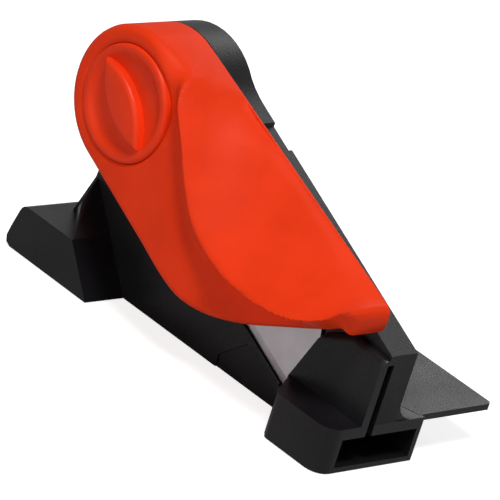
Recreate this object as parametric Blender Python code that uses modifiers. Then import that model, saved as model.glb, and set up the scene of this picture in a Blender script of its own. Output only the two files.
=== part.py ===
"""Hand-held strip trimming cutter: moulded body, swinging blade cover, turn-lock knob, steel blade.

Sizes are millimetres until the last scaling to metres. In the tool's frame +X points at the front of
the guide tunnel (front face at X 0), +Y points at the side wing (the tunnel's outer wall is Y 0) and
+Z is up (the underside is Z 0). The finished pieces hang on one empty that centres them.
"""
import math

import bmesh
import bpy
from mathutils import Matrix, Vector

MM = 0.001
GAP = 0.3                      # clearance between pieces that touch or slide
OVERLAP = 0.6                  # how far joined shapes reach into each other
STEP = 0.05                    # keeps the faces of joined shapes out of one plane

# Layers across the tool, along Y
PAD_Y = -5.0                   # outside of the raised thumb pad
FACE_Y = -2.5                  # outside of the cover's lower face
PARTING_Y = 10.4               # body's parting face, just behind the cover
WEB = 3.0                      # thickness of the body's web
RELIEF = 0.4                   # step in the keel's left face
BODY_Y = 17.6                  # outside of the body's right hand side
SIDE_PLATE = 1.7
COVER_WALL = 1.8
BLADE_T = 0.65

# Driving lines of the side view
TILT = math.radians(24.5)      # spine and blade slope down to the front at this angle
SPINE_Z = 24.2                 # height of the spine line at the front face
PIVOT_X = -71.2
PIVOT_Z = 42.4
HEAD_R = 15.3
BLEND_TURN = 14.0              # degrees of the head given to the hollow where it meets the spine
BLEND_RUN = 4.0
NOTCH_X = (-50.6, -44.4)       # shallow notch across the spine
NOTCH_DEEP = 0.9
FOOT_REAR = -94.1
FOOT_FRONT = -68.5
FOOT_H = 9.75
FOOT_LEAN = 0.83               # run of the rear foot's sloping front face for each mm of height

# Front guide tunnel, wing and blade slot
TUNNEL_L = 22.0
TUNNEL_W = 25.8
SIDE_L = 16.2                  # length of the tunnel along its outer wall
TUNNEL_H = 9.45
BORE_Y = (4.2, 24.6)
BORE_Z = (1.1, 7.1)
BORE_REAR = 1.4                # wall left behind the blind left half of the bore
WING_Y = 46.1
WING_T = 1.3
WING_L = 26.0
CHEEK_Y = 8.3
SLOT_W = 1.7
SLOT_TOP = 22.2
FILLET_R = 4.5

# Blade, standard trapezoid size
BLADE_L = 61.0
BLADE_BACK = 34.0
BLADE_H = 19.0
BLADE_TIP = (-14.7, 1.4)       # X, Z of the tip, just above the tunnel floor
GRIND = 1.8
NOTCH_R = 1.7
NOTCHES = (24.0, 37.0)

# Pivot stack
BUSH_R = 4.5
BOLT_R = 2.0
KNOB_R = 11.7
KNOB_T = 3.0
KNOB_RECESS = 3.9              # depth of the cover's round recess below its face
WASHER_T = 0.8
HUB_R = 7.4
HUB_END = 7.4
COLLAR_R = 6.6
NUT_R = 4.0
NUT_T = 1.3
NUT_WASHER_T = 0.4
LENS_L = 19.5
LENS_W = 7.2
LENS_LEAN = 48.0               # degrees the grip leans back from upright
LENS_RISE = 1.6

# Screws and small pieces
SCREW_R = 1.3
HEAD_SCREW_R = 2.5
BOSS_R = 2.9
SIDE_SCREWS = ((-77.3, 27.8), (-34.5, 33.6), (-60.0, 9.0))
MAGNET_R = 4.0
MAGNETS = ((22.0, 8.5), (42.0, 8.5))   # along and above the cutting edge
PRESS_PAD = ((23.0, 13.5), (44.0, 17.5))   # corners, along and above the cutting edge
BALL_R = 0.8
COIL_R = 0.5
COIL_WIRE_R = 0.12
CLICK_R = 7.6                  # radius of the click ball's circle round the pivot
STOP_R = 1.5
STOP_ANGLE = 200.0
STOP_RADIUS = 11.2
RIB_W = 1.6
SWING = 100.0                  # degrees the cover swings open

Y_MID = (PAD_Y + WING_Y) / 2
X_MID = FOOT_REAR / 2
PIVOT = Vector((PIVOT_X, 0.0, PIVOT_Z))


# ---------------------------------------------------------------- outlines

def arc(centre, radius, start, end, count):
    """Points of an arc in the side view, angles in degrees."""
    step = math.radians(end - start) / count
    first = math.radians(start)
    return [(centre[0] + radius * math.cos(first + step * i),
             centre[1] + radius * math.sin(first + step * i)) for i in range(count + 1)]


def smooth(points, steps=4):
    """Catmull-Rom curve through the points, open at both ends."""
    ends = [points[0]] + list(points) + [points[-1]]
    curve = []
    for p0, p1, p2, p3 in zip(ends, ends[1:], ends[2:], ends[3:]):
        for i in range(steps):
            t = i / steps
            curve.append(tuple(0.5 * (2 * b + (c - a) * t + (2 * a - 5 * b + 4 * c - d) * t * t
                                      + (3 * b - a - 3 * c + d) * t ** 3)
                               for a, b, c, d in zip(p0, p1, p2, p3)))
    return curve + [tuple(points[-1])]


def inset(outline, distance):
    """Outline moved inwards by a distance, corner by corner."""
    area = sum(a[0] * b[1] - b[0] * a[1] for a, b in zip(outline, outline[1:] + outline[:1]))
    side = 1.0 if area > 0 else -1.0
    moved = []
    for before, here, after in zip(outline[-1:] + outline[:-1], outline, outline[1:] + outline[:1]):
        d1 = (Vector(here) - Vector(before)).normalized()
        d2 = (Vector(after) - Vector(here)).normalized()
        n1 = Vector((-d1.y, d1.x)) * side
        n2 = Vector((-d2.y, d2.x)) * side
        mitre = (n1 + n2).normalized()
        reach = distance / max(mitre.dot(n1), 0.5)
        moved.append((here[0] + mitre.x * reach, here[1] + mitre.y * reach))
    return moved


def spine(x):
    """Height of the spine line."""
    return SPINE_Z - math.tan(TILT) * x


def on_blade(along, above):
    """Side view point at a distance back from the blade's tip and a height above its edge."""
    return (BLADE_TIP[0] - along * math.cos(TILT) + above * math.sin(TILT),
            BLADE_TIP[1] + along * math.sin(TILT) + above * math.cos(TILT))


def handle_outline():
    """Body in the side view: front ridge, spine, round head, rear edge and keel."""
    below = spine(0) * math.cos(TILT) - (PIVOT_Z * math.cos(TILT) + PIVOT_X * math.sin(TILT))
    meet = math.degrees(math.asin(below / HEAD_R))
    start = meet - math.degrees(TILT)
    head = arc((PIVOT_X, PIVOT_Z), HEAD_R, start + BLEND_TURN, 217, 22)
    corner = arc((PIVOT_X, PIVOT_Z), HEAD_R, start, 217, 1)[0]
    before = (corner[0] + BLEND_RUN, spine(corner[0] + BLEND_RUN))
    blend = [tuple((1 - t) ** 2 * a + 2 * t * (1 - t) * b + t * t * c
                   for a, b, c in zip(before, corner, head[0])) for t in (0.0, 0.25, 0.5, 0.75)]
    rear = [(-84.9, 18.8), (-88.3, FOOT_H), (-88.3, 2.0)]
    keel = [(FOOT_FRONT - 2.0, 2.0), (FOOT_FRONT - 0.5, 0.0), (-TUNNEL_L - 0.8, 0.0),
            (-TUNNEL_L + 0.5, 1.5)]
    return [(-STEP, 1.7), (-STEP, spine(-STEP))] + blend + head + rear + keel


def cover_outline():
    """Orange cover in the side view: head, straight top edge, front nose, arched lower edge."""
    top_tilt = math.radians(21.4)
    head_top = 90 - math.degrees(top_tilt)
    start = (PIVOT_X + HEAD_R * math.cos(math.radians(head_top)),
             PIVOT_Z + HEAD_R * math.sin(math.radians(head_top)))
    front_top = (-4.6, start[1] - (-4.6 - start[0]) * math.tan(top_tilt))
    head = arc((PIVOT_X, PIVOT_Z), HEAD_R, head_top, 270 - math.degrees(TILT), 26)
    lower = smooth([(-57.0, 19.1), (-50.2, 15.9), (-44.0, 14.1), (-37.4, 13.8), (-31.0, 15.1),
                    (-24.4, 17.8), (-18.0, 20.8), (-13.0, 23.4)], 3)
    nose = smooth([(-10.6, 25.0), (-8.6, 26.0), (-6.8, 26.4), (-5.0, 26.8), (-3.9, 27.8),
                   (-3.4, 29.4), (-3.4, 31.0)], 2)
    return head + lower + nose + [front_top]


def pad_outline():
    """Raised thumb pad: curved step on the left, the cover's own top and front edges."""
    step = smooth([(-58.4, 52.6), (-56.3, 49.5), (-52.6, 43.6), (-48.6, 35.4), (-42.3, 28.6),
                   (-33.2, 25.0), (-22.8, 24.1), (-14.8, 25.4), (-8.6, 28.2), (-6.2, 31.0)], 2)
    return step + [(-5.6, 32.4)]


def blade_outline(play=0.0):
    """Trapezoid of the blade in blade co-ordinates, grown by the play."""
    slope = (BLADE_L - BLADE_BACK) / 2
    return [(-play * 1.6, -play), (BLADE_L + play * 1.6, -play),
            (BLADE_L - slope + play, BLADE_H + play), (slope - play, BLADE_H + play)]


# ---------------------------------------------------------------- solids

def new_object(name, mesh, collection):
    obj = bpy.data.objects.new(name, mesh)
    collection.objects.link(obj)
    return obj


def baked(obj, collection):
    """Mesh object with the evaluated shape of another object, which is removed."""
    bpy.context.view_layer.update()
    evaluated = obj.evaluated_get(bpy.context.evaluated_depsgraph_get())
    mesh = bpy.data.meshes.new_from_object(evaluated)
    mesh.transform(obj.matrix_world)
    name = obj.name
    bpy.data.objects.remove(obj)
    work = bmesh.new()
    work.from_mesh(mesh)
    bmesh.ops.remove_doubles(work, verts=work.verts, dist=1e-6)
    bmesh.ops.recalc_face_normals(work, faces=work.faces)
    work.to_mesh(mesh)
    work.free()
    mesh.name = name
    return new_object(name, mesh, collection)


def flat(name, outline, low, high, across="Y", collection=None):
    """Flat outline given a thickness. across is the axis the thickness runs along."""
    home = collection or CUTTERS
    curve = bpy.data.curves.new(name, "CURVE")
    curve.dimensions = "2D"
    curve.fill_mode = "BOTH"
    curve.extrude = (high - low) / 2 * MM
    line = curve.splines.new("POLY")
    line.points.add(len(outline) - 1)
    for point, (u, v) in zip(line.points, outline):
        point.co = (u * MM, v * MM, 0.0, 1.0)
    line.use_cyclic_u = True
    obj = new_object(name, curve, home)
    middle = (low + high) / 2 * MM
    if across == "Y":
        obj.matrix_world = Matrix.Translation((0, middle, 0)) @ Matrix.Rotation(math.pi / 2, 4, "X")
    elif across == "X":
        turn = Matrix(((0, 0, 1, 0), (1, 0, 0, 0), (0, 1, 0, 0), (0, 0, 0, 1)))
        obj.matrix_world = Matrix.Translation((middle, 0, 0)) @ turn
    else:
        obj.matrix_world = Matrix.Translation((0, 0, middle))
    return baked(obj, home)


def turned(name, profile, centre, collection, segments=40):
    """Turned solid about an axis along Y. The profile is (radius, y), outer side running down."""
    work = bmesh.new()
    verts = [work.verts.new((radius * MM, 0, y * MM)) for radius, y in profile]
    for a, b in zip(verts, verts[1:]):
        work.edges.new((a, b))
    if profile[0] != profile[-1] and profile[0][0] > 0:
        work.edges.new((verts[-1], verts[0]))
    mesh = bpy.data.meshes.new(name)
    work.to_mesh(mesh)
    work.free()
    obj = new_object(name, mesh, collection)
    screw = obj.modifiers.new("turn", "SCREW")
    screw.steps = segments
    screw.render_steps = segments
    screw.use_merge_vertices = True
    screw.merge_threshold = 0.00001
    # the profile's Z becomes the tool's Y
    obj.matrix_world = (Matrix.Translation((centre[0] * MM, 0, centre[1] * MM))
                        @ Matrix.Rotation(-math.pi / 2, 4, "X"))
    return baked(obj, collection)


def rod(name, centre, radius, low, high, collection=None, segments=24):
    """Cylinder along Y."""
    home = collection or CUTTERS
    bpy.ops.mesh.primitive_cylinder_add(vertices=segments, radius=radius * MM,
                                        depth=(high - low) * MM,
                                        location=(centre[0] * MM, (low + high) / 2 * MM, centre[1] * MM),
                                        rotation=(math.pi / 2, 0, 0))
    obj = bpy.context.object
    obj.name = name
    for old in list(obj.users_collection):
        old.objects.unlink(obj)
    home.objects.link(obj)
    return baked(obj, home)


def block(name, low, high):
    """Box between two corners."""
    size = [b - a for a, b in zip(low, high)]
    bpy.ops.mesh.primitive_cube_add(size=1)
    obj = bpy.context.object
    obj.name = name
    for old in list(obj.users_collection):
        old.objects.unlink(obj)
    CUTTERS.objects.link(obj)
    obj.matrix_world = (Matrix.Translation([(a + b) / 2 * MM for a, b in zip(low, high)])
                        @ Matrix.Diagonal([s * MM for s in size] + [1]))
    return baked(obj, CUTTERS)


def combine(target, tool, operation, solver="EXACT"):
    tool.hide_render = True
    tool.display_type = "WIRE"
    boolean = target.modifiers.new(tool.name, "BOOLEAN")
    boolean.operation = operation
    boolean.solver = solver
    boolean.object = tool


def join(target, tool):
    combine(target, tool, "UNION")


def cut(target, tool, solver="EXACT"):
    combine(target, tool, "DIFFERENCE", solver)


def round_rim(obj, y, width, segments, inside=None):
    """Rounds the edges of a plate that lie at one Y, optionally only where a test holds."""
    work = bmesh.new()
    work.from_mesh(obj.data)
    rim = []
    for edge in work.edges:
        level = all(abs(v.co.y - y * MM) < 1e-6 for v in edge.verts)
        if not level or len(edge.link_faces) != 2 or edge.calc_face_angle() < 0.5:
            continue
        middle = (edge.verts[0].co + edge.verts[1].co) / 2 / MM
        if inside is None or inside(middle):
            rim.append(edge)
    bmesh.ops.bevel(work, geom=rim, offset=width * MM, segments=segments, profile=0.5,
                    affect="EDGES", clamp_overlap=True)
    work.to_mesh(obj.data)
    work.free()


def finish(obj, colour, roughness, metallic=0.0):
    """Material of a piece, smooth round shading, and a clean mesh for flat faces."""
    material = bpy.data.materials.new(obj.name)
    material.use_nodes = True
    shader = material.node_tree.nodes["Principled BSDF"]
    shader.inputs["Base Color"].default_value = (*colour, 1.0)
    shader.inputs["Roughness"].default_value = roughness
    shader.inputs["Metallic"].default_value = metallic
    obj.data.materials.clear()
    obj.data.materials.append(material)
    obj.data.shade_smooth()
    obj.data.set_sharp_from_angle(angle=math.radians(35))
    return obj


def place(obj, parent, axis_point=None):
    """Hangs a piece on the tool's empty, with its origin on its joint's axis where it has one."""
    if axis_point is not None:
        shift = Vector(axis_point) * MM
        obj.data.transform(Matrix.Translation(-shift))
        obj.location = shift
    obj.parent = parent


BLACK = (0.012, 0.012, 0.014)
ORANGE = (0.79, 0.055, 0.017)
STEEL = (0.56, 0.55, 0.56)
BRASS = (0.75, 0.55, 0.22)
RUBBER = (0.03, 0.03, 0.03)


# ---------------------------------------------------------------- pieces

def make_blade():
    """Trapezoid blade lying across Y, its edge ground on both sides, two notches in its back."""
    half = BLADE_T / 2
    section = [(0, -0.06), (0, 0.06), (GRIND, half), (BLADE_H, half), (BLADE_H, -half), (GRIND, -half)]
    work = bmesh.new()
    verts = [work.verts.new((0, y * MM, z * MM)) for z, y in section]
    face = work.faces.new(verts)
    grown = bmesh.ops.extrude_face_region(work, geom=[face])
    moved = [v for v in grown["geom"] if isinstance(v, bmesh.types.BMVert)]
    bmesh.ops.translate(work, verts=moved, vec=(-BLADE_L * MM, 0, 0))
    slope = (BLADE_L - BLADE_BACK) / 2
    for x, sign in ((0.0, 1.0), (-BLADE_L, -1.0)):
        bmesh.ops.bisect_plane(work, geom=work.verts[:] + work.edges[:] + work.faces[:],
                               plane_co=((x - sign * STEP) * MM, 0, 0),
                               plane_no=(sign * BLADE_H, 0, slope), clear_outer=True)
        bmesh.ops.holes_fill(work, edges=[e for e in work.edges if e.is_boundary])
    bmesh.ops.recalc_face_normals(work, faces=work.faces)
    mesh = bpy.data.meshes.new("cutting_blade")
    work.to_mesh(mesh)
    work.free()
    obj = new_object("cutting_blade", mesh, PARTS)
    mesh.transform(Matrix.Translation((BLADE_TIP[0] * MM, blade_y() * MM, BLADE_TIP[1] * MM))
                   @ Matrix.Rotation(TILT, 4, "Y"))
    for i, along in enumerate(NOTCHES):
        cut(obj, rod(f"blade_notch_{i}", on_blade(along, BLADE_H), NOTCH_R, blade_y() - 1, blade_y() + 1))
    return finish(obj, STEEL, 0.3, 1.0)


def make_body():
    """Black moulding: handle web with its tray, keel, rear foot, front tunnel, wing and slot."""
    body = flat("main_body", handle_outline(), PARTING_Y, BODY_Y, collection=PARTS)
    round_rim(body, BODY_Y, 2.2, 2, lambda p: p.z > 14 and p.x < -1)

    plan = ([(0.0, TUNNEL_W), (-TUNNEL_L, TUNNEL_W), (-TUNNEL_L, PARTING_Y + OVERLAP),
             (-SIDE_L, 1.3)]
            + arc((-SIDE_L + 2.0, 1.6), 1.6, 200, 270, 3) + arc((-3.4, 3.4), 3.4, 270, 360, 5))
    tunnel = flat("tunnel", plan, 0.0, TUNNEL_H, "Z")
    join(body, tunnel)

    cheek = [(-20.8, TUNNEL_H - OVERLAP), (-STEP / 2, TUNNEL_H - OVERLAP), (-STEP / 2, 23.3),
             (-8.6, 24.4), (-12.5, 22.6), (-15.9, 20.9)]
    cheek_plate = flat("cheek", cheek, CHEEK_Y, PARTING_Y + OVERLAP)
    round_rim(cheek_plate, CHEEK_Y, 1.5, 3, lambda p: p.z > 20)
    join(body, cheek_plate)

    wing = ([(-0.9, TUNNEL_W - OVERLAP), (-0.9, WING_Y - 0.8), (-1.7, WING_Y), (-WING_L + 3, WING_Y),
             (-WING_L, WING_Y - 3), (-WING_L, BODY_Y - OVERLAP)])
    join(body, flat("wing", wing, TUNNEL_H - WING_T, TUNNEL_H + STEP, "Z"))

    sweep = ([(BODY_Y - OVERLAP, TUNNEL_H - OVERLAP), (BODY_Y - OVERLAP, TUNNEL_H + FILLET_R)]
             + arc((BODY_Y + FILLET_R, TUNNEL_H + FILLET_R), FILLET_R, 180, 270, 5)
             + [(BODY_Y + FILLET_R, TUNNEL_H - OVERLAP)])
    join(body, flat("wing_fillet", sweep, -WING_L + 0.2, -0.2, "X"))

    foot_top = FOOT_FRONT - FOOT_LEAN * FOOT_H
    foot = ([(FOOT_REAR + 1.6, 0.0), (FOOT_FRONT, 0.0), (foot_top, FOOT_H), (-90.4, FOOT_H)]
            + arc((-90.4, FOOT_H - 2.0), 2.0, 100, 165, 3) + [(FOOT_REAR + 0.5, 4.0),
                                                              (FOOT_REAR, 1.9), (FOOT_REAR + 0.4, 0.6)])
    join(body, flat("rear_foot", foot, 0.0, BODY_Y - 0.4))

    gusset = bmesh.new()
    inside = PARTING_Y + OVERLAP
    for corner in ((foot_top, 0.4, FOOT_H - OVERLAP), (foot_top, 0.4, FOOT_H + 0.1),
                   (foot_top, inside, FOOT_H - OVERLAP), (foot_top, inside, FOOT_H + 0.1),
                   (-81.4, 4.8, 15.4), (-84.6, inside, 19.2), (-87.9, inside, FOOT_H - OVERLAP),
                   (-87.9, inside, FOOT_H + 0.1)):
        gusset.verts.new([c * MM for c in corner])
    bmesh.ops.convex_hull(gusset, input=gusset.verts)
    mesh = bpy.data.meshes.new("gusset")
    gusset.to_mesh(mesh)
    gusset.free()
    join(body, new_object("gusset", mesh, CUTTERS))

    # tray for the nut and magnet, open to the right, with a ledge for the side plate
    cut(body, flat("plate_seat", plate_outline(-GAP), BODY_Y - SIDE_PLATE - GAP, BODY_Y + 1))
    cut(body, flat("tray", inset(plate_outline(), 1.6), PARTING_Y + WEB, BODY_Y - SIDE_PLATE))
    for i, centre in enumerate(SIDE_SCREWS):
        join(body, rod(f"side_boss_{i}", centre, BOSS_R, PARTING_Y + WEB - 0.2,
                       BODY_Y - SIDE_PLATE - GAP))

    # shallow notch across the spine, and a shallow step in the keel's left face
    rear, front = NOTCH_X
    notch = [(rear, spine(rear) + 2), (rear, spine(rear) - NOTCH_DEEP),
             (front, spine(front) - NOTCH_DEEP), (front, spine(front) + 2)]
    cut(body, flat("spine_notch", notch, PARTING_Y - 1, BODY_Y + 1))
    relief = [(-40.5, -1.0), (-40.5, 2.7), (-34.2, 8.4), (-31.0, 7.8), (-23.5, 4.3), (-23.5, -1.0)]
    cut(body, flat("keel_relief", relief, PARTING_Y - 1, PARTING_Y + RELIEF))

    # guide bore: the right half runs through, the left half is blind
    cut(body, block("bore_right", (-TUNNEL_L - 1.5, PARTING_Y - 0.1, BORE_Z[0]),
                    (1, BORE_Y[1], BORE_Z[1])))
    cut(body, block("bore_left", (-SIDE_L + BORE_REAR + 1.6, BORE_Y[0], BORE_Z[0]),
                    (1, PARTING_Y + 0.1, BORE_Z[1])))

    # blade pocket and slot
    pocket = [on_blade(*p) for p in blade_outline(GAP)]
    blade_back = blade_y() + BLADE_T / 2 + GAP
    cut(body, flat("blade_pocket", pocket, PARTING_Y - 0.15, blade_back))
    middle = blade_y()
    slot = [(-24.0, 5.0), (1.0, 5.0), (1.0, SLOT_TOP), (-9.0, SLOT_TOP), (-14.5, SLOT_TOP - 2.6),
            (-16.5, SLOT_TOP - 2.6), (-18.0, SLOT_TOP)]
    cut(body, flat("blade_slot", slot, middle - SLOT_W / 2, middle + SLOT_W / 2))

    # holes for what the body carries
    cut(body, rod("bush_hole", (PIVOT_X, PIVOT_Z), BUSH_R + GAP, PARTING_Y - 1, PARTING_Y + WEB + 1,
                  segments=40))
    for i, spot in enumerate(MAGNETS):
        cut(body, rod(f"magnet_hole_{i}", on_blade(*spot), MAGNET_R + GAP, PARTING_Y,
                      PARTING_Y + WEB + 1))
    for i, along in enumerate(NOTCHES):
        cut(body, rod(f"pin_hole_{i}", on_blade(along, BLADE_H), NOTCH_R - GAP + 0.2, PARTING_Y,
                      PARTING_Y + WEB - 0.5, segments=16))
    for i, centre in enumerate(SIDE_SCREWS):
        cut(body, rod(f"side_hole_{i}", centre, SCREW_R + GAP, PARTING_Y + 0.9, BODY_Y, segments=16))
    cut(body, rod("stop_hole", stop_spot(), STOP_R + GAP, PARTING_Y - 1, PARTING_Y + WEB - 0.6,
                  segments=16))
    return finish(body, BLACK, 0.5)


def blade_y():
    """Middle of the blade's thickness: its outer face lies just below the parting face."""
    return PARTING_Y + GAP + BLADE_T / 2


def stop_spot():
    """Pin beside the pivot hub that the cover's inner rib reaches when it is wide open."""
    return around_pivot(STOP_RADIUS, STOP_ANGLE)


def around_pivot(radius, angle, aside=0.0):
    """Side view point at a radius and angle from the pivot, moved aside across the radius."""
    turn = math.radians(angle)
    return (PIVOT_X + radius * math.cos(turn) - aside * math.sin(turn),
            PIVOT_Z + radius * math.sin(turn) + aside * math.cos(turn))


def plate_outline(grow=0.0):
    """Side plate on the body's right: the handle's outline, kept clear of its rounded rim."""
    upper = [p for p in handle_outline() if p[0] < -30 and p[1] > FOOT_H + 1]
    low = 0.6
    return inset([(-27.0, low), (-27.0, spine(-27.0))] + upper + [(-87.4, FOOT_H), (-87.4, low)],
                 2.6 + grow)


def make_side_plate():
    top = BODY_Y
    plate = flat("side_plate", plate_outline(), top - SIDE_PLATE, top, collection=PARTS)
    round_rim(plate, top, 0.4, 1)
    for i, centre in enumerate(SIDE_SCREWS):
        cut(plate, rod(f"plate_hole_{i}", centre, SCREW_R + GAP, top - 3, top + 1, segments=16))
        cut(plate, rod(f"plate_sink_{i}", centre, HEAD_SCREW_R + GAP, top - 1.0, top + 1, segments=20))
    return finish(plate, BLACK, 0.55)


def make_cover():
    """Orange shell, open towards the body, with the thumb pad, the knob recess and the hub."""
    inner_y = PARTING_Y - GAP
    cover = flat("blade_cover", cover_outline(), FACE_Y, inner_y, collection=PARTS)
    round_rim(cover, FACE_Y, 1.2, 3)
    pad = flat("thumb_pad", inset(pad_outline(), 0.2), PAD_Y, FACE_Y + OVERLAP + 1.2)
    round_rim(pad, PAD_Y, 1.3, 3)
    join(cover, pad)
    cut(cover, flat("cover_hollow", inset(cover_outline(), COVER_WALL), FACE_Y + COVER_WALL, inner_y + 1),
        "MANIFOLD")
    recess_floor = FACE_Y + KNOB_RECESS
    head = (PIVOT_X, PIVOT_Z)
    join(cover, rod("recess_cup", head, KNOB_R + GAP + 1.4, FACE_Y + 0.6, recess_floor + 1.8,
                    segments=40))
    join(cover, rod("cover_hub", head, HUB_R, recess_floor + 1.0, HUB_END, segments=40))
    touch = math.degrees(math.asin(STOP_R / STOP_RADIUS) + math.asin(RIB_W / 2 / STOP_RADIUS)) + 2
    rib_angle = STOP_ANGLE - touch - SWING
    rib = [around_pivot(r, rib_angle, a) for r, a in
           ((COLLAR_R + GAP, -RIB_W / 2), (HEAD_R - 1, -RIB_W / 2), (HEAD_R - 1, RIB_W / 2),
            (COLLAR_R + GAP, RIB_W / 2))]
    join(cover, flat("stop_rib", rib, recess_floor + 1.4, inner_y - 0.2))
    cut(cover, rod("knob_recess", head, KNOB_R + GAP, FACE_Y - 1, recess_floor, segments=48))
    cut(cover, rod("hub_bore", head, BUSH_R + GAP, recess_floor - 1, HUB_END + 1, segments=40))
    for i in range(4):
        spot = click_spot(i * 90)
        cut(cover, rod(f"click_dimple_{i}", spot, 1.2, recess_floor - 0.2, recess_floor + 0.7,
                       segments=12))
    return finish(cover, ORANGE, 0.42)


def click_spot(angle):
    return around_pivot(CLICK_R, angle)


def knob_back():
    """Y of the knob's underside."""
    return FACE_Y - 0.4 + KNOB_T


def make_knob():
    """Orange turn-lock knob: dished disc with a pointed oval grip across it."""
    face = FACE_Y - 0.4
    back = knob_back()
    dish = 1.1
    profile = [(0.0, back), (KNOB_R, back), (KNOB_R, face + 0.5), (KNOB_R - 0.5, face),
               (KNOB_R - 1.3, face), (KNOB_R - 2.4, face + 0.6), (KNOB_R - 5.0, face + dish),
               (0.0, face + dish)]
    knob = turned("lock_knob", profile, (PIVOT_X, PIVOT_Z), PARTS, 48)
    radius = (LENS_L ** 2 / 4 + LENS_W ** 2 / 4) / LENS_W
    half = math.degrees(math.asin(LENS_L / 2 / radius))
    reach = radius - LENS_W / 2
    right = arc((-reach, 0), radius, -half, half, 8)
    left = arc((reach, 0), radius, 180 - half, 180 + half, 8)
    lean = math.radians(LENS_LEAN)
    lens = [(PIVOT_X + x * math.cos(lean) - z * math.sin(lean),
             PIVOT_Z + x * math.sin(lean) + z * math.cos(lean)) for x, z in right[:-1] + left[:-1]]
    grip = flat("lens_grip", lens, face - LENS_RISE + 0.6, face + dish + OVERLAP)
    round_rim(grip, face - LENS_RISE + 0.6, 0.8, 2)
    join(knob, grip)
    # pocket from behind for the bolt's head, and a blind hole for the click spring
    cut(knob, rod("bolt_pocket", (PIVOT_X, PIVOT_Z), 3.6 + GAP, back - 1.6, back + 1, segments=24))
    cut(knob, rod("click_hole", click_spot(0), BALL_R + GAP, back - 1.5, back + 1, segments=16))
    return finish(knob, ORANGE, 0.38)


def make_pivot_stack():
    """Bush, bolt, washers and nut on the pivot axis."""
    centre = (PIVOT_X, PIVOT_Z)
    back = knob_back()
    recess_floor = FACE_Y + KNOB_RECESS
    bore = BOLT_R + GAP
    collar = HUB_END + 1.5
    bush = turned("pivot_bush", [(bore, PARTING_Y + WEB - 0.1), (BUSH_R, PARTING_Y + WEB - 0.1),
                                 (BUSH_R, PARTING_Y - GAP), (COLLAR_R, PARTING_Y - GAP),
                                 (COLLAR_R, collar), (BUSH_R, collar), (BUSH_R, recess_floor + 0.2),
                                 (bore, recess_floor + 0.2)], centre, PARTS)
    finish(bush, STEEL, 0.3, 1.0)
    bolt = turned("knob_bolt", [(0.0, BODY_Y - SIDE_PLATE - 0.5), (BOLT_R, BODY_Y - SIDE_PLATE - 0.5),
                                (BOLT_R, back - 0.1), (3.6, back - 0.1), (3.6, back - 1.3),
                                (0.0, back - 1.3)], centre, PARTS, 24)
    finish(bolt, STEEL, 0.35, 1.0)
    washer_low = back + (recess_floor - back - WASHER_T) / 2
    washer = turned("thrust_washer", [(bore, washer_low + WASHER_T), (6.0, washer_low + WASHER_T),
                                      (6.0, washer_low), (bore, washer_low)], centre, PARTS)
    finish(washer, BRASS, 0.35, 1.0)
    make_wave_washer(centre, (HUB_END + collar) / 2)
    spot = PARTING_Y + WEB + GAP
    nut_washer = turned("nut_washer", [(bore, spot + NUT_WASHER_T), (NUT_R + 0.8, spot + NUT_WASHER_T),
                                       (NUT_R + 0.8, spot), (bore, spot)], centre, PARTS, 32)
    finish(nut_washer, STEEL, 0.3, 1.0)
    nut_low = spot + NUT_WASHER_T + 0.15
    nut = rod("lock_nut", centre, NUT_R, nut_low, nut_low + NUT_T, PARTS, 6)
    cut(nut, rod("nut_thread", centre, bore, nut_low - 1, nut_low + 4))
    finish(nut, STEEL, 0.35, 1.0)
    return bolt


def make_wave_washer(centre, y):
    """Thin ring bent into three waves."""
    thick = 0.3
    wave = 0.22
    ring = turned("wave_washer", [(BUSH_R + GAP, y + thick / 2), (HUB_R - 0.6, y + thick / 2),
                                  (HUB_R - 0.6, y - thick / 2), (BUSH_R + GAP, y - thick / 2)],
                  centre, PARTS)
    for vert in ring.data.vertices:
        angle = math.atan2(vert.co.z / MM - centre[1], vert.co.x / MM - centre[0])
        vert.co.y += wave * math.sin(3 * angle) * MM
    finish(ring, STEEL, 0.3, 1.0)


def make_click():
    """Click ball in the knob's underside, and the small coil spring that pushes it out."""
    back = knob_back()
    x, z = click_spot(0)
    bpy.ops.mesh.primitive_uv_sphere_add(segments=16, ring_count=10, radius=BALL_R * MM,
                                         location=(x * MM, (back + 0.35) * MM, z * MM))
    ball = bpy.context.object
    ball.name = "detent_ball"
    for old in list(ball.users_collection):
        old.objects.unlink(ball)
    PARTS.objects.link(ball)
    ball = baked(ball, PARTS)
    finish(ball, STEEL, 0.15, 1.0)

    curve = bpy.data.curves.new("detent_spring", "CURVE")
    curve.dimensions = "3D"
    curve.bevel_depth = COIL_WIRE_R * MM
    curve.bevel_resolution = 2
    curve.use_fill_caps = True
    line = curve.splines.new("POLY")
    turns, per_turn, pitch = 2, 12, 0.28
    line.points.add(turns * per_turn)
    start = back - 1.5 + COIL_WIRE_R + 0.06
    for i, point in enumerate(line.points):
        turn = 2 * math.pi * i / per_turn
        point.co = ((x + COIL_R * math.cos(turn)) * MM, (start + pitch * i / per_turn) * MM,
                    (z + COIL_R * math.sin(turn)) * MM, 1.0)
    spring = baked(new_object("detent_spring", curve, PARTS), PARTS)
    finish(spring, STEEL, 0.3, 1.0)
    return ball, spring


def screw(name, centre, under_head, tip, head_h):
    """Screw along Y, its flat round head with a crossed slot at the high end."""
    top = under_head + head_h
    levels = [(0.0, top), (HEAD_SCREW_R - 0.3, top), (HEAD_SCREW_R, top - 0.3),
              (HEAD_SCREW_R, under_head), (SCREW_R, under_head), (SCREW_R, tip), (0.0, tip)]
    obj = turned(name, levels, centre, PARTS, 20)
    for k, (a, b) in enumerate(((1.5, 0.35), (0.35, 1.5))):
        cut(obj, block(f"{name}_cross_{k}", (centre[0] - a, top - 0.5, centre[1] - b),
                       (centre[0] + a, top + 0.5, centre[1] + b)))
    return finish(obj, STEEL, 0.35, 1.0)


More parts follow.
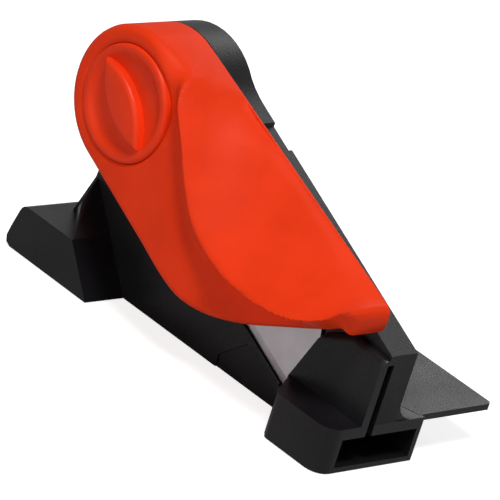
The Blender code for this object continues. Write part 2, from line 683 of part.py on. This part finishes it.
def make_blade_seat():
    """Blade, its dowels and magnets, and the rubber pad in the cover that presses on it."""
    make_blade()
    for name, along in zip(("locator_pin_front", "locator_pin_rear"), NOTCHES):
        pin = rod(name, on_blade(along, BLADE_H), NOTCH_R - 0.4, PARTING_Y + 0.1,
                  PARTING_Y + WEB - 0.8, PARTS, 16)
        finish(pin, STEEL, 0.3, 1.0)
    for name, spot in zip(("blade_magnet_front", "blade_magnet_rear"), MAGNETS):
        magnet = rod(name, on_blade(*spot), MAGNET_R, blade_y() + BLADE_T / 2 + GAP,
                     PARTING_Y + WEB, PARTS)
        finish(magnet, STEEL, 0.25, 1.0)
    (near, low), (far, high) = PRESS_PAD
    corners = [on_blade(*p) for p in ((near, low), (far, low), (far, high), (near, high))]
    pad = flat("press_pad", corners, FACE_Y + COVER_WALL + GAP, PARTING_Y - GAP, collection=PARTS)
    finish(pad, RUBBER, 0.8)
    return pad


def make_side_screws():
    for i, centre in enumerate(SIDE_SCREWS):
        screw(f"side_screw_{i + 1}", centre, BODY_Y - 1.0 + GAP, PARTING_Y + 1.4, 1.0 - GAP)


def main():
    frame = bpy.data.objects.new("tool_frame", None)
    bpy.context.scene.collection.objects.link(frame)
    make_body()
    make_side_plate()
    cover = make_cover()
    knob = make_knob()
    bolt = make_pivot_stack()
    click = make_click()
    press_pad = make_blade_seat()
    make_side_screws()
    stop = rod("stop_pin", stop_spot(), STOP_R, HUB_END + 0.2, PARTING_Y + WEB - 0.9, PARTS, 16)
    finish(stop, STEEL, 0.3, 1.0)
    moving = {obj.name for obj in (cover, knob, bolt, press_pad, *click)}
    for obj in list(PARTS.objects):
        place(obj, frame, PIVOT if obj.name in moving else None)
    for obj in list(CUTTERS.objects):
        obj.parent = frame
    frame.location = (-X_MID * MM, -Y_MID * MM, 0.0)


for leftover in list(bpy.data.objects):
    bpy.data.objects.remove(leftover)
PARTS = bpy.data.collections.new("strip_trimming_cutter")
CUTTERS = bpy.data.collections.new("cutters")
bpy.context.scene.collection.children.link(PARTS)
bpy.context.scene.collection.children.link(CUTTERS)
main()
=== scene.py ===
"""Looks of the hand-held strip trimming cutter: sculpted orange cover and knob, grained black body,
ground steel blade, on a pale floor in soft studio light.

Sizes are millimetres in the tool's own frame: X 0 is the open front of the guide tunnel, Y 0 the
tunnel's outer wall, Z 0 the underside. The tool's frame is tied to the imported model's box.
"""
import math

import bmesh
import bpy
import numpy as np
from mathutils import Matrix, Vector


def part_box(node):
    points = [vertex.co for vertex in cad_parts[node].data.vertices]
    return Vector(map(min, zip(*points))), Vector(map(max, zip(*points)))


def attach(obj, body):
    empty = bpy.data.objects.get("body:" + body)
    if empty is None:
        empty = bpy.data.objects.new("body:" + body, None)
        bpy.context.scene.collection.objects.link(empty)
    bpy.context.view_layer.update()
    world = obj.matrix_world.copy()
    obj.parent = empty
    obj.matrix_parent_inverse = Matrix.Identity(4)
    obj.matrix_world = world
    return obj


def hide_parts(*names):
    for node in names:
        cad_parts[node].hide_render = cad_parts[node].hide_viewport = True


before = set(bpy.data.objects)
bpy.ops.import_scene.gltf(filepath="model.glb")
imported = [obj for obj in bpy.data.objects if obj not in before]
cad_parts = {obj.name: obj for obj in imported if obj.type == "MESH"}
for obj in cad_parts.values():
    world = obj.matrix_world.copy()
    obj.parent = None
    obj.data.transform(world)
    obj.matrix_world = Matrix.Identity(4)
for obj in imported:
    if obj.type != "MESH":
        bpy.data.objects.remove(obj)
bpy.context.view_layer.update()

MM = 0.001
body_low, body_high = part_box("main_body")
HOME = Vector((body_high[0], body_low[1], 0.0))     # tool's X 0, Y 0, Z 0 in the row frame

# Body
TILT = math.radians(24.5)      # slope of the spine and the blade; the cover's head ends square to it
EDGE_R = 0.45                  # soft edge of the black moulding

# Cover
PIVOT_X = -71.2
PIVOT_Z = 42.4
HEAD_R = 15.3
FACE_Y = -2.5                  # lower face of the cover
RIM_Y = -5.0                   # crest of the thumb rest's edge
BACK_Y = 10.1                  # edge that meets the body
REST_END_Y = 9.1               # where the thumb rest reaches the top edge
NOSE_Y = 2.0                   # left side of the nose at the front
SCOOP_Y = 5.5                  # deepest part of the hollow below the thumb rest
VALLEY = 1.1                   # shallow valley along the thumb rest's edge
TOP_TILT = math.radians(21.4)
FRONT_X = -3.4
COVER_WALL = 1.8
CEILING_Y = -0.7
GRID = 0.32                    # mesh width on the sculpted face
HOLLOW_GRID = 0.9
RIM_ROUND = 1.6                # rounding of the outer edge
SHOULDER_ROUND = 2.4           # added rounding on the top edge beside the head

# Knob
KNOB_R = 11.7
KNOB_GAP = 0.12
LIP_W = 1.1                    # rounded lip round the knob's recess
KNOB_FACE_Y = -2.9
KNOB_BACK_Y = 0.1
KNOB_DISH = 1.1
BOLT_POCKET_R = 3.9
BOLT_POCKET_DEEP = 1.6
RECESS_Y = 1.4
HUB_R = 7.4
HUB_BORE = 4.8
HUB_END_Y = 7.4
LENS_L = 19.5
LENS_W = 7.2
LENS_LEAN = math.radians(48)
LENS_TOP_Y = -3.9
LENS_ROOT = 1.5                # how deep the grip is rooted below the knob's face
LENS_ROUND = 1.3               # rounding of the grip's top edge

# Camera, in the tool's frame, and studio
AIM = (-27.46, -5.38, 33.68)
AZIMUTH = math.radians(49.64)
ELEVATION = math.radians(22.12)
ROLL = math.radians(-17.56)
DISTANCE = 743.1
LENS_MM = 288.0
FLOOR_GLOW = 0.80              # how far the floor shows white by itself
WORLD_MIRRORED = 0.45          # strength of the world in reflections
WORLD_LIGHT = 0.10             # strength of the world as light
FLOOR_SIZE = 6.0               # metres
FLOOR_DROP = 0.0002            # metres that the floor lies below the feet
LIT_POINT = (0, 0, 0.03)       # metres, what every light aims at
LIGHTS = (                     # name, place and width in metres, watts
    ("key", (0.30, -0.28, 0.90), 0.30, 7.2),
    ("fill", (0.20, -0.90, 0.30), 0.50, 2.2),
    ("back", (-0.30, 0.80, 0.50), 0.50, 2.0),
)


# ---------------------------------------------------------------- finishes

def new_material(name, colour, roughness, metallic=0.0):
    """Principled material, with its node tree and shader."""
    material = bpy.data.materials.new(name)
    material.use_nodes = True
    tree = material.node_tree
    shader = tree.nodes["Principled BSDF"]
    shader.inputs["Base Color"].default_value = (*colour, 1.0)
    shader.inputs["Roughness"].default_value = roughness
    shader.inputs["Metallic"].default_value = metallic
    return material, tree, shader


def noise(tree, scale, detail, stretch=(1, 1, 1)):
    """Noise on Object coordinates. The scale is in features for each metre."""
    place = tree.nodes.new("ShaderNodeTexCoord")
    mapping = tree.nodes.new("ShaderNodeMapping")
    mapping.inputs["Scale"].default_value = stretch
    texture = tree.nodes.new("ShaderNodeTexNoise")
    texture.inputs["Scale"].default_value = scale
    texture.inputs["Detail"].default_value = detail
    tree.links.new(place.outputs["Object"], mapping.inputs["Vector"])
    tree.links.new(mapping.outputs["Vector"], texture.inputs["Vector"])
    return texture


def spread(tree, source, low, high):
    """Number that runs from low to high over the middle of a noise."""
    node = tree.nodes.new("ShaderNodeMapRange")
    node.inputs["From Min"].default_value = 0.3
    node.inputs["From Max"].default_value = 0.7
    node.inputs["To Min"].default_value = low
    node.inputs["To Max"].default_value = high
    tree.links.new(source, node.inputs["Value"])
    return node.outputs["Result"]


def tint(tree, source, first, second):
    """Colour that runs between two tones with a noise."""
    ramp = tree.nodes.new("ShaderNodeValToRGB")
    ramp.color_ramp.elements[0].position = 0.35
    ramp.color_ramp.elements[0].color = (*first, 1.0)
    ramp.color_ramp.elements[1].position = 0.65
    ramp.color_ramp.elements[1].color = (*second, 1.0)
    tree.links.new(source, ramp.inputs["Fac"])
    return ramp.outputs["Color"]


def bump(tree, shader, source, depth):
    """Fine relief on a finish, its depth in millimetres."""
    node = tree.nodes.new("ShaderNodeBump")
    node.inputs["Distance"].default_value = depth * MM
    tree.links.new(source, node.inputs["Height"])
    tree.links.new(node.outputs["Normal"], shader.inputs["Normal"])


def moulded_plastic(name, dark, light, roughness, grain, gloss=0.5):
    """Moulded plastic: faint cloudiness in colour and gloss, and a fine spark-eroded grain."""
    material, tree, shader = new_material(name, light, roughness)
    shader.inputs["Specular IOR Level"].default_value = gloss
    clouds = noise(tree, 90, 3)
    fine = noise(tree, 2600, 4)
    tree.links.new(tint(tree, clouds.outputs["Fac"], dark, light), shader.inputs["Base Color"])
    tree.links.new(spread(tree, clouds.outputs["Fac"], roughness - 0.05, roughness + 0.06),
                   shader.inputs["Roughness"])
    bump(tree, shader, fine.outputs["Fac"], grain)
    return material


def ground_steel(name, colour, roughness, along):
    """Ground steel: fine lines along one axis, uneven gloss."""
    material, tree, shader = new_material(name, colour, roughness, 1.0)
    stretch = [1.0, 1.0, 1.0]
    stretch["XYZ".index(along)] = 0.04
    lines = noise(tree, 6000, 2, stretch)
    blotches = noise(tree, 160, 2)
    tone = tuple(c * 0.9 for c in colour)
    tree.links.new(tint(tree, blotches.outputs["Fac"], tone, colour), shader.inputs["Base Color"])
    tree.links.new(spread(tree, lines.outputs["Fac"], roughness - 0.06, roughness + 0.08),
                   shader.inputs["Roughness"])
    bump(tree, shader, lines.outputs["Fac"], 0.01)
    return material


BLACK = moulded_plastic("black_moulding", (0.0050, 0.0050, 0.0060), (0.0075, 0.0072, 0.0088), 0.36,
                        0.05, 0.26)
ORANGE = moulded_plastic("orange_moulding", (0.74, 0.036, 0.005), (0.82, 0.041, 0.006), 0.5, 0.03, 0.1)
KNOB_ORANGE = moulded_plastic("orange_knob", (0.74, 0.035, 0.005), (0.82, 0.040, 0.006), 0.36, 0.015,
                              0.15)
RUBBER = moulded_plastic("pressing_rubber", (0.02, 0.02, 0.02), (0.03, 0.03, 0.03), 0.8, 0.05)
BLADE = ground_steel("blade_steel", (0.62, 0.60, 0.62), 0.34, "X")
FITTING = ground_steel("turned_steel", (0.55, 0.55, 0.56), 0.32, "Y")
MAGNET = ground_steel("plated_magnet", (0.66, 0.65, 0.62), 0.2, "Z")
BRASS = ground_steel("washer_brass", (0.75, 0.55, 0.24), 0.3, "Z")

CAD_FINISH = {
    "side_plate": BLACK, "press_pad": RUBBER, "cutting_blade": BLADE, "thrust_washer": BRASS,
    "blade_magnet_front": MAGNET, "blade_magnet_rear": MAGNET,
}


# ---------------------------------------------------------------- curves in the side view

def arc(centre, radius, start, end, count):
    """Points of an arc, angles in degrees."""
    turn = [math.radians(start + (end - start) * i / count) for i in range(count + 1)]
    return [(centre[0] + radius * math.cos(a), centre[1] + radius * math.sin(a)) for a in turn]


def smooth(points, steps):
    """Catmull-Rom curve through the points, open at both ends."""
    ends = [points[0]] + list(points) + [points[-1]]
    curve = []
    for p0, p1, p2, p3 in zip(ends, ends[1:], ends[2:], ends[3:]):
        for i in range(steps):
            t = i / steps
            curve.append(tuple(0.5 * (2 * b + (c - a) * t + (2 * a - 5 * b + 4 * c - d) * t * t
                                      + (3 * b - a - 3 * c + d) * t ** 3)
                               for a, b, c, d in zip(p0, p1, p2, p3)))
    return curve + [tuple(points[-1])]


def inset(outline, distance):
    """Closed anticlockwise outline moved inwards, corner by corner."""
    moved = []
    for before, here, after in zip(outline[-1:] + outline[:-1], outline, outline[1:] + outline[:1]):
        d1 = (Vector(here) - Vector(before)).normalized()
        d2 = (Vector(after) - Vector(here)).normalized()
        n1 = Vector((-d1.y, d1.x))
        mitre = (n1 + Vector((-d2.y, d2.x))).normalized()
        reach = distance / max(mitre.dot(n1), 0.5)
        moved.append((here[0] + mitre.x * reach, here[1] + mitre.y * reach))
    return moved


HEAD_TOP = 90 - math.degrees(TOP_TILT)
TOP_START = (PIVOT_X + HEAD_R * math.cos(math.radians(HEAD_TOP)),
             PIVOT_Z + HEAD_R * math.sin(math.radians(HEAD_TOP)))


def top_edge(x):
    """Height of the cover's straight top edge."""
    return TOP_START[1] - (x - TOP_START[0]) * math.tan(TOP_TILT)


def cover_outline():
    """Cover in the side view: head, arched lower edge, small hooked nose, straight top edge."""
    head = arc((PIVOT_X, PIVOT_Z), HEAD_R, HEAD_TOP, 270 - math.degrees(TILT), 56)
    lower = smooth([(-57.0, 19.1), (-50.2, 15.9), (-44.0, 14.1), (-37.4, 13.8), (-31.0, 15.1),
                    (-24.4, 17.8), (-18.0, 20.8), (-13.0, 23.4)], 6)
    nose = smooth([(-10.6, 25.0), (-8.6, 26.0), (-6.8, 26.4), (-5.0, 26.8), (-3.9, 27.8),
                   (FRONT_X, 29.4), (FRONT_X, 31.0)], 4)
    return head + lower + nose + [(-3.7, 32.0), (-4.6, top_edge(-4.6))]


def rest_edge():
    """Crest that bounds the thumb rest on the left, from the head's top to the nose."""
    return smooth([(-60.5, 56.5), (-58.4, 53.6), (-56.3, 49.5), (-52.6, 43.6), (-48.6, 36.4),
                   (-42.9, 29.6), (-33.6, 25.4), (-22.8, 24.6), (-14.8, 25.9), (-8.6, 28.6),
                   (-5.0, 32.0), (-3.0, 35.0)], 6)


# ---------------------------------------------------------------- sculpted face of the cover

def distances(points, line, closed=False):
    """Distance of each point to a line, and the side it lies on (positive to the line's left)."""
    line = np.array(line + line[:1] if closed else line)
    a, b = line[:-1], line[1:]
    along = b - a
    lengths = np.maximum((along ** 2).sum(axis=1), 1e-12)
    best = np.full(len(points), 1e9)
    side = np.ones(len(points))
    for start, step, length in zip(a, along, lengths):
        out = points - start
        t = np.clip((out @ step) / length, 0, 1)
        gap = np.hypot(*(out - t[:, None] * step).T)
        cross = step[0] * out[:, 1] - step[1] * out[:, 0]
        nearer = gap < best
        best = np.where(nearer, gap, best)
        side = np.where(nearer, np.sign(cross), side)
    return best, side


def ease(value, low, high):
    """Smooth step from 0 at low to 1 at high."""
    t = np.clip((value - low) / (high - low), 0, 1)
    return t * t * (3 - 2 * t)


def face_depth(points):
    """Y of the cover's outer face over the side view."""
    x, z = points[:, 0], points[:, 1]
    gap, side = distances(points, rest_edge())
    top_gap = np.maximum((top_edge(x) - z) * math.cos(TOP_TILT), 0.0)

    # crest: grows out of the head, falls again to the nose
    crest = FACE_Y + (RIM_Y - FACE_Y) * ease(x, -63.0, -55.0) * (1 - 0.9 * ease(x, -15.0, -4.0))
    low = (FACE_Y + (SCOOP_Y - FACE_Y) * ease(x, -46.0, -20.0)
           - (SCOOP_Y - NOSE_Y) * ease(x, -9.0, -5.0))
    valley = VALLEY * np.exp(-((gap - 4.0) / 3.0) ** 2) * ease(x, -66.0, -58.0) * (
        1 - ease(x, -44.0, -30.0))
    fall = np.clip(gap / 4.6, 0, 1)
    below = crest + (low + valley - crest) * (1 - (1 - fall) ** 2.6)

    # thumb rest: slopes from the crest up and back to the top edge, dished where the thumb lies
    share = gap / np.maximum(gap + top_gap, 1e-6)
    end = FACE_Y + (REST_END_Y - FACE_Y) * ease(x, -64.5, -49.0)
    rest = crest + (end - crest) * share
    rest += 0.9 * np.sin(np.pi * np.clip(share, 0, 1)) ** 2 * ease(x, -58.0, -44.0) * (
        1 - ease(x, -22.0, -8.0))
    rest += 0.5 * (1 - np.clip(gap / 1.3, 0, 1)) ** 2
    depth = np.where(side > 0, rest, below + 0.5 * (1 - np.clip(gap / 0.9, 0, 1)) ** 2)

    # lip round the knob's recess
    reach = np.hypot(x - PIVOT_X, z - PIVOT_Z) - KNOB_R
    depth += 0.45 * (1 - np.clip(reach / LIP_W, 0, 1)) ** 2

    # rounded outer edge
    edge_gap = distances(points, cover_outline(), closed=True)[0]
    shoulder = ease(x, -70.0, -60.0) * (top_gap < 6.0) * ease(-x, 40.0, 50.0)
    round_r = RIM_ROUND + SHOULDER_ROUND * shoulder
    d = np.clip(round_r - edge_gap, 0, round_r)
    depth += round_r - np.sqrt(round_r ** 2 - d ** 2 * 0.999)
    return np.minimum(depth, BACK_Y - 0.4)


def ceiling_depth(points):
    """Y of the cover's inner face: one wall behind the outer one, deeper behind the knob's recess."""
    inner = np.clip(face_depth(points) + COVER_WALL, CEILING_Y, BACK_Y - 0.1)
    reach = np.hypot(points[:, 0] - PIVOT_X, points[:, 1] - PIVOT_Z)
    return np.where(reach < KNOB_R + 1.9, np.maximum(inner, RECESS_Y + COVER_WALL), inner)


# ---------------------------------------------------------------- mesh helpers

def to_row(co):
    """Point of the tool's frame, in millimetres, as a point of the row frame in metres."""
    return HOME + Vector(co) * MM


def add_object(name, work):
    """Object at the origin from a bmesh in tool millimetres."""
    for vert in work.verts:
        vert.co = to_row(vert.co)
    mesh = bpy.data.meshes.new(name)
    work.to_mesh(mesh)
    work.free()
    obj = bpy.data.objects.new(name, mesh)
    bpy.context.scene.collection.objects.link(obj)
    return obj


def prism(name, outline, low, high):
    """Side view outline given a thickness along Y."""
    work = bmesh.new()
    face = work.faces.new([work.verts.new((x, low, z)) for x, z in outline])
    grown = bmesh.ops.extrude_face_region(work, geom=[face])
    moved = [v for v in grown["geom"] if isinstance(v, bmesh.types.BMVert)]
    bmesh.ops.translate(work, verts=moved, vec=(0, high - low, 0))
    bmesh.ops.recalc_face_normals(work, faces=work.faces)
    return add_object(name, work)


def drum(name, radius, low, high, segments=96):
    """Cylinder about the pivot."""
    return prism(name, arc((PIVOT_X, PIVOT_Z), radius, 0, 360 - 360 / segments, segments - 1), low,
                 high)


def fine_slab(name, low, high, width):
    """Block over the cover's side view, its left face split into a fine grid."""
    x_low, x_high = PIVOT_X - HEAD_R - 1, FRONT_X + 1
    z_low, z_high = 13.0, PIVOT_Z + HEAD_R + 1
    work = bmesh.new()
    bmesh.ops.create_grid(work, x_segments=int((x_high - x_low) / width),
                          y_segments=int((z_high - z_low) / width), size=0.5)
    bmesh.ops.transform(work, verts=work.verts, matrix=(
        Matrix.Translation(((x_low + x_high) / 2, low, (z_low + z_high) / 2))
        @ Matrix.Rotation(math.pi / 2, 4, "X")
        @ Matrix.Diagonal((x_high - x_low, z_high - z_low, 1, 1))))
    grown = bmesh.ops.extrude_face_region(work, geom=work.faces[:])
    moved = [v for v in grown["geom"] if isinstance(v, bmesh.types.BMVert)]
    bmesh.ops.translate(work, verts=moved, vec=(0, high - low, 0))
    flat = [f for f in grown["geom"] if isinstance(f, bmesh.types.BMFace)]
    bmesh.ops.dissolve_faces(work, faces=flat)
    bmesh.ops.recalc_face_normals(work, faces=work.faces)
    return add_object(name, work)


def apply_boolean(obj, tool, operation):
    """Boolean made real, and its tool removed."""
    modifier = obj.modifiers.new(tool.name, "BOOLEAN")
    modifier.operation = operation
    modifier.solver = "MANIFOLD"
    modifier.object = tool
    bpy.context.view_layer.update()
    evaluated = obj.evaluated_get(bpy.context.evaluated_depsgraph_get())
    mesh = bpy.data.meshes.new_from_object(evaluated)
    obj.modifiers.clear()
    obj.data = mesh
    bpy.data.objects.remove(tool)
    return obj


def sculpt(obj, level, depth):
    """Moves the vertices that lie at one Y to the depth that a function gives for X and Z."""
    verts = [v for v in obj.data.vertices
             if abs(v.co.y - to_row((0, level, 0)).y) < 1e-6]
    places = np.array([((v.co.x - HOME.x) / MM, (v.co.z - HOME.z) / MM) for v in verts])
    for vert, y in zip(verts, depth(places)):
        vert.co.y = to_row((0, float(y), 0)).y


def tidy_mesh(obj, merge=0.00001):
    """Joins the doubled points that a boolean leaves."""
    work = bmesh.new()
    work.from_mesh(obj.data)
    bmesh.ops.remove_doubles(work, verts=work.verts, dist=merge)
    bmesh.ops.dissolve_degenerate(work, dist=merge / 2, edges=work.edges)
    work.to_mesh(obj.data)
    work.free()


def shade(obj, material, angle):
    """One finish, smooth but for edges sharper than the angle in degrees."""
    obj.data.materials.clear()
    obj.data.materials.append(material)
    obj.data.shade_smooth()
    obj.data.set_sharp_from_angle(angle=math.radians(angle))


# ---------------------------------------------------------------- pieces

def make_cover():
    """Orange cover: sculpted face, hollow inside, recess for the knob and hub round the pivot."""
    start = RIM_Y - 1
    cover = fine_slab("cover_shell", start, BACK_Y, GRID)
    apply_boolean(cover, prism("cover_edge", cover_outline(), start - 1, BACK_Y + 1), "INTERSECT")
    sculpt(cover, start, face_depth)

    hollow = fine_slab("hollow", start, BACK_Y + 1, HOLLOW_GRID)
    inner = inset(cover_outline(), COVER_WALL)
    apply_boolean(hollow, prism("hollow_edge", inner, start - 1, BACK_Y + 2), "INTERSECT")
    sculpt(hollow, start, ceiling_depth)
    apply_boolean(cover, hollow, "DIFFERENCE")
    apply_boolean(cover, drum("hub", HUB_R, RECESS_Y + 0.5, HUB_END_Y), "UNION")
    apply_boolean(cover, drum("recess", KNOB_R + KNOB_GAP, RIM_Y - 2, RECESS_Y), "DIFFERENCE")
    apply_boolean(cover, drum("hub_bore", HUB_BORE, RECESS_Y - 1, HUB_END_Y + 1), "DIFFERENCE")
    tidy_mesh(cover)
    shade(cover, ORANGE, 40)
    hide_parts("blade_cover")
    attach(cover, "cover")


def spun(name, profile, segments=96):
    """Closed profile of (radius, Y) points turned about the pivot."""
    work = bmesh.new()
    verts = [work.verts.new((PIVOT_X + r, y, PIVOT_Z)) for r, y in profile]
    edges = [work.edges.new(pair) for pair in zip(verts, verts[1:])]
    bmesh.ops.spin(work, geom=verts + edges, cent=(PIVOT_X, 0, PIVOT_Z), axis=(0, 1, 0),
                   angle=2 * math.pi, steps=segments, use_merge=True, use_duplicate=False)
    bmesh.ops.remove_doubles(work, verts=work.verts, dist=0.001)
    bmesh.ops.recalc_face_normals(work, faces=work.faces)
    return add_object(name, work)


def make_knob():
    """Turn-lock knob: rounded rim, shallow dish, pointed oval grip across it."""
    face, back = KNOB_FACE_Y, KNOB_BACK_Y
    rim = [(KNOB_R, back), (KNOB_R, face + 0.8)]
    rim += [(KNOB_R - 0.8 + 0.8 * math.cos(a), face + 0.8 - 0.8 * math.sin(a))
            for a in (0.4, 0.8, 1.2, math.pi / 2)]
    rim += [(KNOB_R - 1.3, face + 0.02), (KNOB_R - 1.9, face + 0.22), (KNOB_R - 2.5, face + 0.62),
            (KNOB_R - 3.4, face + 0.92), (KNOB_R - 5.0, face + 1.08),
            (3.0, face + KNOB_DISH), (0.0, face + KNOB_DISH)]
    knob = spun("turn_knob", [(0.0, back)] + rim)
    radius = (LENS_L ** 2 + LENS_W ** 2) / 4 / LENS_W
    half = math.degrees(math.asin(LENS_L / 2 / radius))
    right = arc((LENS_W / 2 - radius, 0), radius, -half, half, 16)
    left = arc((radius - LENS_W / 2, 0), radius, 180 - half, 180 + half, 16)
    lean = Matrix.Rotation(LENS_LEAN, 2)
    lens = [lean @ Vector(p) + Vector((PIVOT_X, PIVOT_Z)) for p in right[:-1] + left[:-1]]
    work = bmesh.new()
    floor = work.faces.new([work.verts.new((p.x, face + LENS_ROOT, p.y)) for p in lens])
    grown = bmesh.ops.extrude_face_region(work, geom=[floor])
    crown = [f for f in grown["geom"] if isinstance(f, bmesh.types.BMFace)]
    bmesh.ops.translate(work, verts=crown[0].verts, vec=(0, LENS_TOP_Y - face - LENS_ROOT, 0))
    bmesh.ops.recalc_face_normals(work, faces=work.faces)
    edges = [e for e in work.edges if all(abs(v.co.y - LENS_TOP_Y) < 1e-6 for v in e.verts)]
    bmesh.ops.bevel(work, geom=edges, offset=LENS_ROUND, segments=5, profile=0.5, affect="EDGES",
                    clamp_overlap=True, material=-1)
    grip = add_object("grip", work)
    apply_boolean(knob, grip, "UNION")
    pocket = drum("bolt_pocket", BOLT_POCKET_R, back - BOLT_POCKET_DEEP, back + 1, 32)
    apply_boolean(knob, pocket, "DIFFERENCE")
    tidy_mesh(knob)
    shade(knob, KNOB_ORANGE, 40)
    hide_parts("lock_knob")
    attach(knob, "knob")


def make_body():
    """Black body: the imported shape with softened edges."""
    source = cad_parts["main_body"]
    work = bmesh.new()
    work.from_mesh(source.data)
    bmesh.ops.remove_doubles(work, verts=work.verts, dist=0.000004)
    bmesh.ops.dissolve_limit(work, angle_limit=math.radians(1.0), verts=work.verts, edges=work.edges)
    mesh = bpy.data.meshes.new("moulded_body")
    work.to_mesh(mesh)
    work.free()
    body = bpy.data.objects.new("moulded_body", mesh)
    bpy.context.scene.collection.objects.link(body)
    bevel = body.modifiers.new("soft edges", "BEVEL")
    bevel.width = EDGE_R * MM
    bevel.segments = 2
    bevel.limit_method = "ANGLE"
    bevel.angle_limit = math.radians(32)
    bevel.use_clamp_overlap = True
    bevel.harden_normals = True
    shade(body, BLACK, 32)
    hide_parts("main_body")
    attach(body, "body")


def finish_cad_nodes():
    """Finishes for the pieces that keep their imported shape."""
    for name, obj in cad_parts.items():
        finish = CAD_FINISH.get(name, FITTING)
        for place in obj.material_slots:
            place.material = finish


# ---------------------------------------------------------------- studio

def make_camera():
    """Long lens from the left front, above, rolled a little."""
    data = bpy.data.cameras.new("camera")
    data.lens = LENS_MM
    data.sensor_width = 36.0
    data.clip_end = 20.0
    camera = bpy.data.objects.new("camera", data)
    bpy.context.scene.collection.objects.link(camera)
    ca, sa, ce, se = math.cos(AZIMUTH), math.sin(AZIMUTH), math.cos(ELEVATION), math.sin(ELEVATION)
    right = Vector((sa, ca, 0))
    up = Vector((-ca * se, sa * se, ce))
    back = Vector((ca * ce, -sa * ce, se))
    across = right * math.cos(ROLL) - up * math.sin(ROLL)
    upright = right * math.sin(ROLL) + up * math.cos(ROLL)
    turn = Matrix((across, upright, back)).transposed().to_4x4()
    camera.matrix_world = Matrix.Translation(to_row(AIM) + back * DISTANCE * MM) @ turn
    bpy.context.scene.camera = camera


def area_light(name, place, width, watts):
    """Round soft light that faces the object."""
    data = bpy.data.lights.new(name, "AREA")
    data.shape = "DISK"
    data.size = width
    data.energy = watts
    light = bpy.data.objects.new(name, data)
    bpy.context.scene.collection.objects.link(light)
    light.location = place
    light.rotation_euler = (Vector(LIT_POINT) - Vector(place)).to_track_quat("-Z", "Y").to_euler()


def make_studio():
    """Pale floor that shows white to the camera but keeps the shadow, soft lights, pale world."""
    material, tree, shader = new_material("studio_floor", (0.55, 0.55, 0.55), 0.9)
    shader.inputs["Specular IOR Level"].default_value = 0.0
    shader.inputs["Emission Color"].default_value = (1, 1, 1, 1)
    shown = tree.nodes.new("ShaderNodeLightPath")
    glow = tree.nodes.new("ShaderNodeMath")
    glow.operation = "MULTIPLY"
    glow.inputs[1].default_value = FLOOR_GLOW
    tree.links.new(shown.outputs["Is Camera Ray"], glow.inputs[0])
    tree.links.new(glow.outputs["Value"], shader.inputs["Emission Strength"])
    work = bmesh.new()
    bmesh.ops.create_grid(work, x_segments=1, y_segments=1, size=FLOOR_SIZE)
    mesh = bpy.data.meshes.new("studio_floor")
    work.to_mesh(mesh)
    work.free()
    floor = bpy.data.objects.new("studio_floor", mesh)
    floor.location.z = -FLOOR_DROP
    mesh.materials.append(material)
    bpy.context.scene.collection.objects.link(floor)

    world = bpy.data.worlds.new("studio")
    world.use_nodes = True
    bpy.context.scene.world = world
    nodes, links = world.node_tree.nodes, world.node_tree.links
    back = nodes["Background"]
    back.inputs["Color"].default_value = (1, 1, 1, 1)
    path = nodes.new("ShaderNodeLightPath")
    mirrored = nodes.new("ShaderNodeMath")
    mirrored.operation = "MULTIPLY"
    mirrored.inputs[1].default_value = WORLD_MIRRORED
    seen = nodes.new("ShaderNodeMath")
    seen.operation = "MAXIMUM"
    level = nodes.new("ShaderNodeMath")
    level.operation = "MAXIMUM"
    level.inputs[1].default_value = WORLD_LIGHT
    links.new(path.outputs["Is Glossy Ray"], mirrored.inputs[0])
    links.new(path.outputs["Is Camera Ray"], seen.inputs[0])
    links.new(mirrored.outputs["Value"], seen.inputs[1])
    links.new(seen.outputs["Value"], level.inputs[0])
    links.new(level.outputs["Value"], back.inputs["Strength"])

    for name, place, width, watts in LIGHTS:
        area_light(name, place, width, watts)
    bpy.context.scene.view_settings.view_transform = "Standard"


make_camera()
make_cover()
make_knob()
make_body()
finish_cad_nodes()
make_studio()
